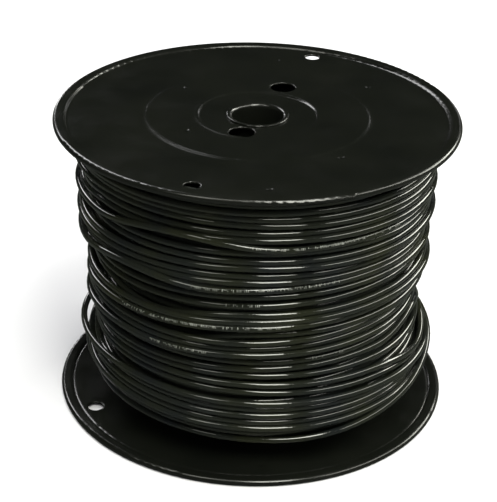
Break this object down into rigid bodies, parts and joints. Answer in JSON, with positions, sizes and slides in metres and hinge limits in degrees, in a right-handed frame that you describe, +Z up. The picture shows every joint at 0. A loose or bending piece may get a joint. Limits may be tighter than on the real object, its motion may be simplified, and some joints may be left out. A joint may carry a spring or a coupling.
{
  "type": "wire spool",
  "caption": "Black pressed-steel reel with two rolled-rim flanges and a centre arbor tube, wound full of glossy black jacketed building wire.",
  "frame": {"origin": "centre of the lower rim's bottom face, on the arbor's axis", "axes": "+Z up along the arbor; +X to the right and +Y to the back of the usual view"},
  "size_m": [0.2032, 0.2032, 0.1546],
  "materials": {
    "black_paint": "satin",
    "wire_jacket": "gloss",
    "copper": "satin"
  },
  "bodies": {
    "root": {"lower_flange": "black_paint", "upper_flange": "black_paint", "barrel": "black_paint", "arbor_tube": "black_paint", "wire_inner_layers": "wire_jacket", "wire_middle_layers": "wire_jacket", "wire_outer_layers": "wire_jacket", "wire_start_tail": "wire_jacket", "wire_outer_end": "wire_jacket", "outer_end_strands": "copper"}
  },
  "joints": []
}
